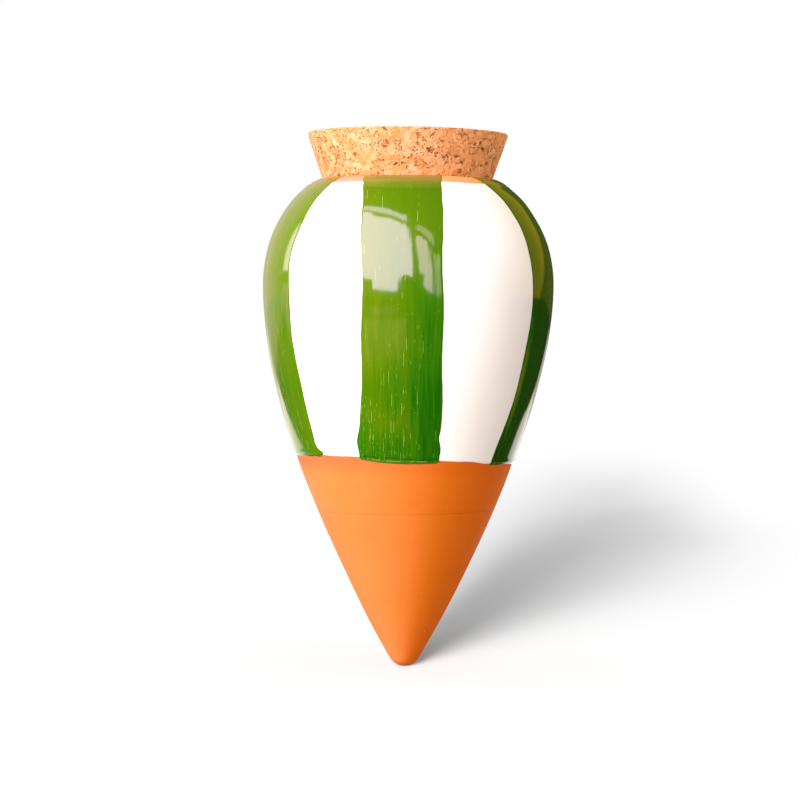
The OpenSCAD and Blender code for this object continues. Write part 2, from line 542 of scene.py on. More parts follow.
@dataclass
class Wiring:
    """Places nodes in a tree and joins them."""

    tree: bpy.types.NodeTree

    def add(self, kind: str, inputs: Inputs | None = None, **settings: object) -> bpy.types.Node:
        """Places one node.

        Args:
            kind: Blender's name of the node.
            inputs: A socket to join or a plain value for each named input.
            **settings: The node's own options.

        Returns:
            The new node.
        """
        node = self.tree.nodes.new(kind)
        for name, value in settings.items():
            setattr(node, name, value)
        self.put(node, inputs or {})
        return node

    def put(self, node: bpy.types.Node, inputs: Inputs) -> None:
        """Sets or joins inputs of a node.

        Args:
            node: The node.
            inputs: A socket to join or a plain value for each input.
        """
        for name, value in inputs.items():
            if isinstance(value, Socket):
                self.tree.links.new(value, node.inputs[name])
            else:
                node.inputs[name].default_value = value

    def math(self, operation: str, *values: float | Socket) -> Socket:
        """One step of arithmetic on the values, in their order."""
        return self.add("ShaderNodeMath", dict(enumerate(values)), operation=operation).outputs[0]

    def times(self, first: float | Socket, second: float | Socket) -> Socket:
        """The first value times the second."""
        return self.math("MULTIPLY", first, second)

    def plus(self, first: float | Socket, second: float | Socket) -> Socket:
        """The first value plus the second."""
        return self.math("ADD", first, second)

    def minus(self, first: float | Socket, second: float | Socket) -> Socket:
        """The first value minus the second."""
        return self.math("SUBTRACT", first, second)

    def vector(self, operation: str, *values: object) -> Socket:
        """One step of vector arithmetic on the values, in their order."""
        return self.add("ShaderNodeVectorMath", dict(enumerate(values)), operation=operation).outputs[0]

    def step(self, value: Socket, low: float, high: float, bottom: float = 0.0, top: float = 1.0) -> Socket:
        """A soft step of a value.

        Args:
            value: The value that is read.
            low: Where the step starts.
            high: Where it ends.
            bottom: Result below low.
            top: Result above high.

        Returns:
            The socket with the result.
        """
        inputs = {0: value, 1: low, 2: high, 3: bottom, 4: top}
        return self.add("ShaderNodeMapRange", inputs, interpolation_type="SMOOTHSTEP").outputs[0]

    def mix(self, share: float | Socket, first: object, second: object) -> Socket:
        """A colour between two colours.

        Args:
            share: 0 for the first colour and 1 for the second.
            first: A socket, or red, green and blue.
            second: A socket, or red, green and blue.

        Returns:
            The socket with the mixed colour.
        """
        inputs = {0: share}
        for index, colour in ((6, first), (7, second)):
            inputs[index] = colour if isinstance(colour, Socket) else (*colour, 1.0)
        return self.add("ShaderNodeMix", inputs, data_type="RGBA").outputs[2]

    def over(self, colour: Socket, *layers: tuple[float | Socket, object]) -> Socket:
        """A colour with other colours laid over it.

        Args:
            colour: The colour at the bottom.
            *layers: Share and colour of each layer, the lowest first.

        Returns:
            The socket with the mixed colour.
        """
        for share, layer in layers:
            colour = self.mix(share, colour, layer)
        return colour

    def ramp(self, value: Socket, top: float, stops: Sequence[tuple[float, Colour]]) -> Socket:
        """A colour that runs through a row of stops.

        Args:
            value: The value that is read.
            top: The value at the last stop.
            stops: Value and colour of each stop, from 0 up to top.

        Returns:
            The socket with the colour.
        """
        node = self.add("ShaderNodeValToRGB", {0: self.math("DIVIDE", value, top)})
        marks = node.color_ramp.elements
        for index, (place, colour) in enumerate(stops):
            mark = marks[index] if index < 2 else marks.new(place / top)
            mark.position = place / top
            mark.color = (*colour, 1.0)
        return node.outputs[0]

    def noise(self, place: Socket, scale: float | Socket, detail: float = 2.0, **inputs: float) -> Socket:
        """Smooth noise from 0 to 1 at a place.

        Args:
            place: The coordinates that are read.
            scale: Number of features in a metre.
            detail: How many finer layers are added.
            **inputs: Any other input of the noise node.

        Returns:
            The socket with the noise.
        """
        named = {"Vector": place, "Scale": scale, "Detail": detail}
        named.update({name.capitalize(): value for name, value in inputs.items()})
        return self.add("ShaderNodeTexNoise", named).outputs[0]

    def stretch(self, place: Socket, factors: Colour) -> Socket:
        """A place with each coordinate stretched by its own factor."""
        return self.vector("MULTIPLY", place, factors)

    def streaks(self, place: Socket, factors: Colour, detail: float, **inputs: float) -> Socket:
        """Smooth noise from 0 to 1 with its own number of features in a metre along each coordinate."""
        return self.noise(self.stretch(place, factors), 1.0, detail, **inputs)

    def parts(self, vector: Socket) -> tuple[Socket, ...]:
        """The three coordinates of a vector."""
        return tuple(self.add("ShaderNodeSeparateXYZ", {0: vector}).outputs)

    def place(self) -> Socket:
        """The place on the object, in metres."""
        return self.add("ShaderNodeTexCoord").outputs["Object"]

    def glow(self, colour: object) -> Socket:
        """A surface that sends out one colour."""
        return self.add("ShaderNodeEmission", {"Color": colour, "Strength": 1.0}).outputs[0]

    def blend(self, share: float | Socket, first: Socket, second: Socket) -> Socket:
        """A shader between two shaders."""
        return self.add("ShaderNodeMixShader", {0: share, 1: first, 2: second}).outputs[0]

    def masked(self, mask: Socket) -> bpy.types.NodeTree:
        """Ends a group of nodes with its mask, and gives its tree."""
        self.add("NodeGroupOutput", {"Mask": mask})
        return self.tree


def emptied(block: bpy.types.Material | bpy.types.World) -> Wiring:
    """Clears the nodes of a material or a world.

    Args:
        block: The material or the world.

    Returns:
        The wiring of its empty tree.
    """
    block.use_nodes = True
    block.node_tree.nodes.clear()
    return Wiring(block.node_tree)


def group(name: str, **inputs: float) -> tuple[Wiring, dict[str, Socket]]:
    """Starts a group of shader nodes that reads a place and gives a mask.

    Args:
        name: Name of the group.
        **inputs: Default of each input besides the place, which is named Vector.

    Returns:
        The wiring, and the group's inputs by name.
    """
    tree = bpy.data.node_groups.new(name, "ShaderNodeTree")
    tree.interface.new_socket("Vector", in_out="INPUT", socket_type="NodeSocketVector")
    for label, default in inputs.items():
        socket = tree.interface.new_socket(label, in_out="INPUT", socket_type="NodeSocketFloat")
        socket.default_value = default
    tree.interface.new_socket("Mask", in_out="OUTPUT", socket_type="NodeSocketFloat")
    wiring = Wiring(tree)
    return wiring, {socket.name: socket for socket in wiring.add("NodeGroupInput").outputs}


@dataclass
class Effects:
    """The effects that several finishes share, each one group of nodes."""

    specks: bpy.types.NodeTree = field(init=False)
    mottle: bpy.types.NodeTree = field(init=False)
    scratches: bpy.types.NodeTree = field(init=False)

    def __post_init__(self) -> None:
        """Builds each group once."""
        self.specks = self.build_specks()
        self.mottle = self.build_mottle()
        self.scratches = self.build_scratches()

    @staticmethod
    def build_specks() -> bpy.types.NodeTree:
        """Scattered small round spots, such as pinholes in a glaze.

        Returns:
            A group whose Mask is 1 inside a spot.
        """
        n, given = group("scattered_specks", Spacing=0.005, Size=0.05, Share=0.3)
        scale = n.math("DIVIDE", 1.0, given["Spacing"])
        cells = n.add("ShaderNodeTexVoronoi", {"Vector": given["Vector"], "Scale": scale})
        luck = n.add("ShaderNodeSeparateColor", {0: cells.outputs["Color"]}).outputs
        size = n.times(given["Size"], n.plus(luck[1], 0.4))
        spot = n.step(n.math("DIVIDE", n.minus(size, cells.outputs["Distance"]), size), 0.0, 0.5)
        return n.masked(n.times(spot, n.math("LESS_THAN", luck[0], given["Share"])))

    @staticmethod
    def build_scratches() -> bpy.types.NodeTree:
        """Short thin strokes along the second coordinate, set in columns that don't line up.

        Returns:
            A group whose Mask is 1 on a stroke.
        """
        n, given = group("thin_scratches", Spacing=0.001, Length=0.004, Share=0.3)
        place = n.parts(given["Vector"])
        across = n.math("DIVIDE", place[0], given["Spacing"])
        column = n.plus(n.math("FLOOR", across), n.times(place[2], 900.0))
        shift = n.add("ShaderNodeTexWhiteNoise", {"W": column}, noise_dimensions="1D").outputs["Value"]
        along = n.plus(n.math("DIVIDE", place[1], given["Length"]), n.times(shift, 9.0))
        cell = n.add("ShaderNodeCombineXYZ", {0: column, 1: n.math("FLOOR", along)}).outputs[0]
        luck = n.add("ShaderNodeTexWhiteNoise", {"Vector": cell}, noise_dimensions="2D").outputs["Color"]
        luck = n.add("ShaderNodeSeparateColor", {0: luck}).outputs
        middle = n.plus(n.times(luck[0], 0.6), 0.2)
        aside = n.math("ABSOLUTE", n.minus(n.math("FRACT", across), middle))
        reach = n.math("ABSOLUTE", n.minus(n.math("FRACT", along), 0.5))
        ends = n.plus(n.times(luck[1], 0.30), 0.12)
        slim = n.times(n.step(aside, 0.20, 0.10), n.step(n.minus(reach, ends), 0.06, -0.08))
        return n.masked(n.times(slim, n.math("LESS_THAN", luck[2], given["Share"])))

    @staticmethod
    def build_mottle() -> bpy.types.NodeTree:
        """Soft cloudy patches with finer clouds in them.

        Returns:
            A group whose Mask runs from 0 to 1.
        """
        n, given = group("soft_mottle", Scale=30.0, Contrast=1.0)
        broad = n.noise(given["Vector"], given["Scale"], 4.0, distortion=0.4)
        swung = n.times(n.minus(broad, 0.5), n.times(given["Contrast"], 2.2))
        return n.masked(n.add("ShaderNodeClamp", {0: n.plus(swung, 0.5)}).outputs[0])


@dataclass
class Surface:
    """One material under construction, with its Principled shader."""

    name: str
    material: bpy.types.Material = field(init=False)
    nodes: Wiring = field(init=False)
    shader: bpy.types.Node = field(init=False)
    place: Socket = field(init=False)

    def __post_init__(self) -> None:
        """Makes the material with its shader and its object coordinates."""
        self.material = bpy.data.materials.new(self.name)
        self.nodes = emptied(self.material)
        self.shader = self.nodes.add("ShaderNodeBsdfPrincipled")
        self.nodes.add("ShaderNodeOutputMaterial", {"Surface": self.shader.outputs[0]})
        self.place = self.nodes.place()

    def effect(self, tree: bpy.types.NodeTree, **inputs: object) -> Socket:
        """Places one shared effect and gives its mask."""
        given = {"Vector": self.place, **inputs}
        return self.nodes.add("ShaderNodeGroup", given, node_tree=tree).outputs["Mask"]

    def attribute(self, name: str, output: str = "Fac") -> Socket:
        """Reads one attribute of the piece's mesh."""
        return self.nodes.add("ShaderNodeAttribute", attribute_name=name).outputs[output]

    def feed(self, **inputs: object) -> None:
        """Sets or joins inputs of the shader, with underscores for the spaces in their names."""
        self.nodes.put(self.shader, {name.replace("_", " "): value for name, value in inputs.items()})

    def bump(self, height: Socket, depth: float, strength: float = 1.0) -> None:
        """Gives the shader a fine relief.

        Args:
            height: Relief from 0 to 1.
            depth: Its depth in millimetres.
            strength: How much of it shows.
        """
        inputs = {"Height": height, "Distance": depth * MM, "Strength": strength}
        self.feed(Normal=self.nodes.add("ShaderNodeBump", inputs).outputs[0])


# ---- Finishes ----


@dataclass(frozen=True)
class ClayFinish:
    """Bare fired clay, smooth and faintly mottled."""

    body: Colour = (0.70, 0.133, 0.0045)
    pale: Colour = (0.73, 0.149, 0.0066)
    deep: Colour = (0.61, 0.106, 0.0030)
    # The bare rim is paler; on the right, the shaded side, it is paler still, as painted light in the shade.
    pale_rim: Colour = (0.75, 0.235, 0.050)
    pale_rim_painted_light_right: Colour = (0.88, 0.37, 0.16)
    speck: Colour = (0.85, 0.45, 0.16)
    # A darker band just below the white glaze's edge.
    darker_below_glaze: Colour = (0.66, 0.096, 0.0050)
    # Painted shade in the tool line's groove.
    groove: Colour = (0.42, 0.075, 0.006)

    def material(self, effects: Effects) -> bpy.types.Material:
        """Builds the clay's material.

        Args:
            effects: The shared groups of nodes.

        Returns:
            The material.
        """
        s = Surface("bare_terracotta")
        n = s.nodes
        x, _, z = n.parts(s.place)
        flecks = s.effect(effects.mottle, Scale=140.0, Contrast=1.1)
        rings = n.streaks(s.place, (8.0, 8.0, 420.0), 3.0)
        specks = s.effect(effects.specks, Spacing=0.007, Size=0.045, Share=0.10)
        # Pale rim colour, paler still to the right: painted light on the shaded side.
        pale_rim = n.mix(n.step(x, -0.015, 0.025), self.pale_rim, self.pale_rim_painted_light_right)
        colour = n.over(
            n.mix(s.effect(effects.mottle, Scale=22.0, Contrast=0.9), self.body, self.pale),
            (n.step(flecks, 0.62, 1.0, 0.0, 0.2), self.deep),
            (n.step(rings, 0.55, 0.8, 0.0, 0.14), self.deep),
            (n.step(rings, 0.45, 0.2, 0.0, 0.14), self.pale),
            (s.attribute("darker_below_glaze"), self.darker_below_glaze),
            (n.step(z, 0.168, 0.178, 0.0, 0.75), pale_rim),
            (s.attribute("groove"), self.groove),
            (n.times(specks, 0.8), self.speck),
        )
        roughness = n.step(n.noise(s.place, 300.0), 0.3, 0.7, 0.52, 0.62)
        s.feed(Base_Color=colour, Roughness=roughness, Specular_IOR_Level=0.04)
        s.bump(n.plus(n.noise(s.place, 2200.0, 3.0), n.times(rings, 1.4)), 0.03, 0.6)
        return s.material


@dataclass(frozen=True)
class WhiteGlazeFinish:
    """Glossy white glaze, a little warm, with a few pinholes."""

    body: Colour = (0.90, 0.862, 0.866)
    cream: Colour = (0.89, 0.832, 0.822)
    thin: Colour = (0.87, 0.62, 0.46)
    pinhole: Colour = (0.30, 0.22, 0.16)

    def material(self, effects: Effects) -> bpy.types.Material:
        """Builds the white glaze's material.

        Args:
            effects: The shared groups of nodes.

        Returns:
            The material.
        """
        s = Surface("white_dipped_glaze")
        n = s.nodes
        runs = n.streaks(s.place, (55.0, 55.0, 9.0), 2.0)
        pinholes = s.effect(effects.specks, Spacing=0.017, Size=0.014, Share=0.45)
        colour = n.over(
            n.mix(n.step(runs, 0.35, 0.75, 0.0, 0.7), self.body, self.cream),
            (n.step(s.attribute("cover"), 0.55, 0.15, 0.0, 0.75), self.thin),
            (n.times(pinholes, 0.7), self.pinhole),
        )
        swell = n.streaks(s.place, (60.0, 60.0, 35.0), 1.0)
        peel = n.noise(s.place, 700.0, 1.0)
        s.feed(Base_Color=colour, Roughness=n.step(peel, 0.3, 0.7, 0.08, 0.13))
        s.bump(n.plus(swell, n.times(peel, 0.03)), 0.25, 0.5)
        return s.material


@dataclass(frozen=True)
class BrushedGreenFinish:
    """Glossy green glaze laid with a wide brush, deeper where it is thick."""

    loads: tuple[tuple[float, Colour], ...] = (
        (0.0, (0.145, 0.178, 0.012)),
        (0.2, (0.095, 0.153, 0.002)),
        (0.4, (0.068, 0.143, 0.0006)),
        (0.6, (0.042, 0.133, 0.0006)),
        (0.8, (0.019, 0.117, 0.0006)),
        (1.0, (0.0075, 0.091, 0.0006)),
        (1.3, (0.017, 0.052, 0.002)),
    )
    scratch: Colour = (0.36, 0.46, 0.075)
    line: Colour = (0.20, 0.27, 0.030)
    on_clay: Colour = (0.062, 0.150, 0.014)
    on_rim: Colour = (0.150, 0.130, 0.008)
    # Paler worn patches on the rim, also used for the painted highlight along the lip's crest.
    rim_wear_and_crest_highlight: Colour = (0.225, 0.165, 0.040)

    def material(self, effects: Effects) -> bpy.types.Material:
        """Builds the green glaze's material, which follows the stroke of each stripe.

        Args:
            effects: The shared groups of nodes.

        Returns:
            The material.
        """
        s = Surface("green_brushed_glaze")
        n = s.nodes
        stroke = s.attribute("stroke", "Vector")
        along = n.parts(stroke)[1]
        hairs = n.streaks(stroke, (2300.0, 95.0, 90.0), 3.0, distortion=0.1)
        bands = n.streaks(stroke, (760.0, 34.0, 90.0), 3.0, distortion=0.2)
        broad = n.streaks(stroke, (75.0, 20.0, 90.0), 1.0)
        combing = n.step(along, 0.085, 0.030, 0.3, 1.0)
        load = laid = s.attribute("load")
        for part, share in ((hairs, 0.75), (bands, 0.60), (broad, 0.40)):
            load = n.plus(load, n.times(n.minus(part, 0.5), n.times(combing, share)))
        low = n.times(n.step(along, 0.050, 0.010, 0.15, 1.0), n.step(laid, 1.0, 0.75))
        share = n.times(low, n.step(n.streaks(stroke, (150.0, 60.0, 90.0), 1.0), 0.35, 0.55))
        lengthy, short = (
            s.effect(effects.scratches, Vector=stroke, Spacing=apart, Length=size, Share=n.times(share, part))
            for apart, size, part in ((0.00035, 0.0058, 0.095), (0.00033, 0.0018, 0.065))
        )
        scored = n.math("MAXIMUM", lengthy, n.times(short, 0.7))
        dots = s.effect(effects.specks, Spacing=0.0012, Size=0.13, Share=0.36)
        broken = n.step(n.streaks(stroke, (420.0, 900.0, 90.0), 2.0), 0.42, 0.58, 0.1, 0.6)
        # A lighter broken line just above the stroke's foot.
        band_above_foot = n.times(n.step(along, 0.0007, 0.0009), n.step(along, 0.0014, 0.0011))
        worn = n.streaks(stroke, (60.0, 700.0, 90.0), 2.0)
        rim = n.over(
            n.mix(n.step(worn, 0.40, 0.62, 0.0, 0.5), self.on_rim, self.rim_wear_and_crest_highlight),
            # A pale band along the lip's crest is a painted highlight.
            (n.step(n.parts(s.place)[2], 0.1812, 0.1822, 0.0, 0.7), self.rim_wear_and_crest_highlight),
        )
        colour = n.over(
            n.ramp(load, self.loads[-1][0], self.loads),
            (n.times(scored, 0.68), self.scratch),
            (n.times(dots, 0.35), self.scratch),
            (n.step(along, 0.0009, 0.0006, 0.0, 0.75), self.on_clay),
            (n.times(band_above_foot, broken), self.line),
            (s.attribute("mouth"), rim),
        )
        roughness = n.plus(n.step(bands, 0.3, 0.7, 0.065, 0.095), n.times(scored, 0.2))
        s.feed(Base_Color=colour, Roughness=roughness)
        swell = n.streaks(s.place, (70.0, 70.0, 40.0), 1.0)
        relief = n.plus(n.times(swell, 0.5), n.times(hairs, 0.03))
        s.bump(n.minus(relief, n.times(n.plus(scored, dots), 0.10)), 0.25, 0.6)
        return s.material


@dataclass(frozen=True)
class CorkFinish:
    """Pressed cork: pale brown grains, with crevices and pits between them painted dark as shade."""

    body: Colour = (0.67, 0.282, 0.116)
    pale: Colour = (0.80, 0.410, 0.215)
    cream: Colour = (0.88, 0.66, 0.42)
    brown: Colour = (0.52, 0.190, 0.048)
    # Crevice and pit colours are painted shade in the gaps and pits between grains.
    crevice_shade: Colour = (0.21, 0.075, 0.007)
    pit: Colour = (0.15, 0.052, 0.007)
    grains: float = 420.0
    warp: float = 0.0036

    def material(self, effects: Effects) -> bpy.types.Material:
        """Builds the cork's material.

        Args:
            effects: The shared groups of nodes.

        Returns:
            The material.
        """
        s = Surface("pressed_cork")
        n = s.nodes
        waves = {"Vector": s.place, "Scale": 600.0, "Detail": 3.0}
        warp = n.add("ShaderNodeTexNoise", waves).outputs["Color"]
        shift = n.stretch(n.vector("SUBTRACT", warp, (0.5, 0.5, 0.5)), (self.warp, self.warp, self.warp))
        bent = n.vector("ADD", n.stretch(s.place, (1.0, 1.0, 1.3)), shift)
        cells = {"Vector": bent, "Scale": self.grains}
        grains = n.add("ShaderNodeTexVoronoi", cells)
        seams = n.add("ShaderNodeTexVoronoi", cells, feature="DISTANCE_TO_EDGE")
        tone = n.add("ShaderNodeSeparateColor", {0: grains.outputs["Color"]}).outputs
        mottle = s.effect(effects.mottle, Scale=300.0, Contrast=1.1)
        flecks = n.noise(n.stretch(bent, (1.0, 1.0, 1.5)), 1000.0, 2.0)
        patches = n.step(n.noise(s.place, 170.0, 1.0), 0.32, 0.58, 0.3, 1.0)
        flecks = n.times(n.step(flecks, 0.56, 0.68), patches)
        broken = n.step(n.noise(s.place, 900.0, 2.0), 0.46, 0.56)
        seam_share = n.times(n.step(n.noise(s.place, 230.0, 1.0), 0.50, 0.60), broken)
        seam = n.times(n.step(seams.outputs["Distance"], 0.15, 0.03), seam_share)
        curl = n.noise(n.stretch(s.place, (1.0, 1.0, 1.5)), 420.0, 3.0, distortion=0.6)
        line = n.step(n.math("ABSOLUTE", n.minus(curl, 0.5)), 0.040, 0.012)
        curl_share = n.step(n.noise(s.place, 480.0, 1.0), 0.58, 0.66)
        seam = n.math("MAXIMUM", seam, n.times(line, curl_share))
        specks = s.effect(effects.specks, Spacing=0.0012, Size=0.20, Share=0.22)
        chips = s.effect(effects.specks, Vector=bent, Spacing=0.0017, Size=0.22, Share=0.06)
        colour = n.over(
            n.mix(n.step(tone[0], 0.4, 1.0, 0.0, 0.65), self.body, self.pale),
            (n.step(tone[0], 0.3, 0.0, 0.0, 0.45), self.brown),
            (n.step(mottle, 0.55, 1.0, 0.0, 0.5), self.pale),
            (n.step(mottle, 0.5, 0.0, 0.0, 0.5), self.brown),
            (n.step(tone[1], 0.965, 0.985, 0.0, 0.55), self.cream),
            (n.times(flecks, 0.7), self.brown),
            # Seams and pits are painted dark, as shade in them.
            (n.times(seam, 0.85), self.crevice_shade),
            (n.times(specks, 0.5), self.brown),
            (n.times(chips, 0.5), self.cream),
            (s.attribute("pit"), self.pit),
        )
        s.feed(Base_Color=colour, Roughness=0.85, Specular_IOR_Level=0.15)
        relief = n.plus(n.times(n.noise(s.place, 1900.0, 3.0), 0.5), n.times(tone[2], 0.35))
        relief = n.minus(relief, n.times(seam, 1.2))
        s.bump(n.minus(relief, n.times(n.plus(specks, flecks), 0.6)), 0.35, 0.8)
        return s.material


# ---- Pieces ----


@dataclass
class ClayVessel:
    """The thrown clay body: bare cone below, rim and seat at the mouth, and the chamber inside."""

    outline: Outline
    steps: int = 288
    groove_z: float = 59.3
    groove_climb: float = 0.008
    groove_depth: float = 0.07
    groove_shade_share: float = 0.45
    groove_w: float = 0.2
    groove_margin: float = 2.2
    groove_band: Pair = (55.0, 64.0)
    outside_r: float = 30.0
    chamber_r: float = 6.0
    chamber_rise: float = 5.5
    darker_below_glaze_fall: Pair = (9.0, 1.0)

    def outside(self) -> list[Pair]:
        """The outer side of the section.

        Returns:
            Points from the tip up to the lip's crest and over it.
        """
        o = self.outline
        points = arc((0.0, o.point_r), o.point_r, -90.0, -o.point_angle, 14)
        points[0] = (0.0, 0.0)
        spacings = (
            (o.station(self.groove_z - self.groove_margin), 0.9),
            (o.station(self.groove_z + self.groove_margin), 0.12),
            (o.station(o.dip_z + o.fine_w), 0.8),
            (1.7, 3.0),
            (2.0, 0.7),
        )
        low = 0.0
        for high, spacing in spacings:
            points += [tuple(o.surface(station)) for station in o.stations(low, high, spacing)[1:]]
            low = high
        lip_end = 180.0 - math.degrees(o.cork_taper)
        return points + arc(tuple(o.lip_centre), o.lip_r, 90.0 - o.shoulder_slope, lip_end, 10)[1:]

    def inside(self) -> list[Pair]:
        """The inner side of the section.

        Returns:
            Points from the seat down into the chamber and to its bottom on the axis.
        """
        o = self.outline
        slant = Vector((math.sin(o.cork_taper), math.cos(o.cork_taper)))
        top = Vector(self.outside()[-1])
        foot_z = o.surface(2.0, -o.wall).y
        seat = [tuple(top - slant * (top.y - foot_z) / slant.y * i / 6) for i in range(1, 6)]
        chamber = [tuple(o.surface(1.92 - 0.92 * i / 22, -o.wall)) for i in range(23)]
        low = o.station(o.point_r + self.chamber_rise + 0.45 * self.chamber_r)
        chamber += [tuple(o.surface(1.0 - (1.0 - low) * i / 24, -o.wall)) for i in range(1, 25)]
        chamber = [point for point in chamber if point[0] > 0.8 * self.chamber_r]
        radius, height = chamber[-1]
        return [*seat, *chamber, *arc((0.0, height), radius, 0.0, -90.0, 6)[1:-1], (0.0, height - radius)]

    def groove(self, azimuth: float, radius: float, height: float) -> float:
        """Share of the tool line's depth at a place.

        Args:
            azimuth: Direction round the axis in degrees.
            radius: Distance from the axis.
            height: Height above the point.

        Returns:
            A share up to about 1, and 0 inside the vessel and far from the line.
        """
        if not self.groove_band[0] < height < self.groove_band[1] or radius < self.outside_r:
            return 0.0
        line = self.groove_z + self.groove_climb * azimuth
        strength = 0.45 + 0.55 * smooth(0.2, -0.3, abs(azimuth) / 90.0 - 0.75)
        strength *= 0.8 + 0.4 * wander(azimuth, 4.0, 2.2)
        return strength * hump(height - line, self.groove_w)

    def cut(self, azimuth: float, radius: float, height: float) -> Pair:
        """Takes the tool line's depth off the radius."""
        return radius - self.groove_depth * self.groove(azimuth, radius, height), height

    def build(self) -> bpy.types.Object:
        """Spins the vessel and cuts the tool line into its cone.

        Returns:
            The vessel's object.
        """
        mesh = revolve([*self.outside(), *self.inside()], self.steps, closed=False)
        groove = mesh.verts.layers.float.new("groove")
        darker_below_glaze = mesh.verts.layers.float.new("darker_below_glaze")
        for vert in mesh.verts:
            azimuth, radius, height = polar(vert)
            # The groove's share of depth also sets its painted shade in the clay's colour.
            vert[groove] = self.groove_shade_share * self.groove(azimuth, radius, height)
            # A band below the white glaze's edge is darker, more so on the left.
            below = self.outline.dip(azimuth) - height
            leftness = 0.65 - 0.35 * math.sin(math.radians(azimuth))
            vert[darker_below_glaze] = leftness * smooth(*self.darker_below_glaze_fall, below)
        reshape(mesh, self.cut)
        reshape(mesh, self.outline.thrown)
        return finish_mesh(mesh, "clay_vessel")


@dataclass
class WhiteCoat:
    """The white glaze, dipped up from the cone and wiped off the rim.

    Both its edges wander, and the wander fades out within a reach of the edge.
    """

    outline: Outline
    steps: int = 288
    top_z: float = 176.0
    low_reach: float = 22.0
    low_hold: Pair = (18.0, 0.5)
    rim_reach: float = 4.0

    def section(self) -> list[Pair]:
        """A loop of points round the coat.

        Returns:
            Points from its lower edge up the outside and back inside.
        """
        o = self.outline
        low, high = o.station(o.dip_z), 2.0
        while o.surface(high).x < o.white_rim_r:
            high -= 0.001
        fine = o.stations(low, o.station(o.dip_z + o.fine_w), o.fine_step)
        middle = o.stations(fine[-1], o.station(self.top_z), 1.5)
        stations = fine + middle[1:] + o.stations(middle[-1], high, 0.25)[1:]
        runs = [0.0]
        for a, b in zip(stations, stations[1:]):
            runs.append(runs[-1] + (o.surface(b) - o.surface(a)).length)
        gaps = [min(run, runs[-1] - run) for run in runs]
        outside = [tuple(o.surface(station, o.coat(gap))) for station, gap in zip(stations, gaps)]
        inside = [tuple(o.surface(station, -o.glaze_sunk)) for station in stations[1:-1:6]]
        return outside + inside[::-1]

    def slide(self, azimuth: float, radius: float, height: float) -> Pair:
        """Moves a point along the surface with the wander of the nearer edge.

        Args:
            azimuth: Direction round the axis in degrees.
            radius: Distance from the axis.
            height: Height above the point.

        Returns:
            The new radius and height.
        """
        o = self.outline
        normal = o.normal(o.station(min(height, o.vessel_h - 0.1)))
        if height < o.dip_z + self.low_reach:
            move = (o.dip(azimuth) - o.dip_z) * smooth(*self.low_hold, height - o.dip_z)
            return radius - normal.y / normal.x * move, height + move
        if radius < o.white_rim_r + self.rim_reach and height > o.belly_z:
            move = (o.rim(azimuth) - o.white_rim_r) * smooth(self.rim_reach, 0.5, radius - o.white_rim_r)
            return radius + move, height - normal.x / normal.y * move
        return radius, height

    def build(self) -> bpy.types.Object:
        """Spins the coat and lets its two edges wander.

        Returns:
            The coat's object.
        """
        mesh = revolve(self.section(), self.steps, closed=True)
        reshape(mesh, self.slide)
        cover = mesh.verts.layers.float.new("cover")
        for vert in mesh.verts:
            azimuth, _, height = polar(vert)
            gap = self.outline.white_gap(azimuth, self.outline.station(height))
            vert[cover] = smooth(-0.05, 0.8, gap)
        reshape(mesh, self.outline.thrown)
        return finish_mesh(mesh, "white_coat")


@dataclass(frozen=True)
class Bulge:
    """A place where a stripe's edge swells sideways."""

    side: int
    height: float
    reach: float
    length: float


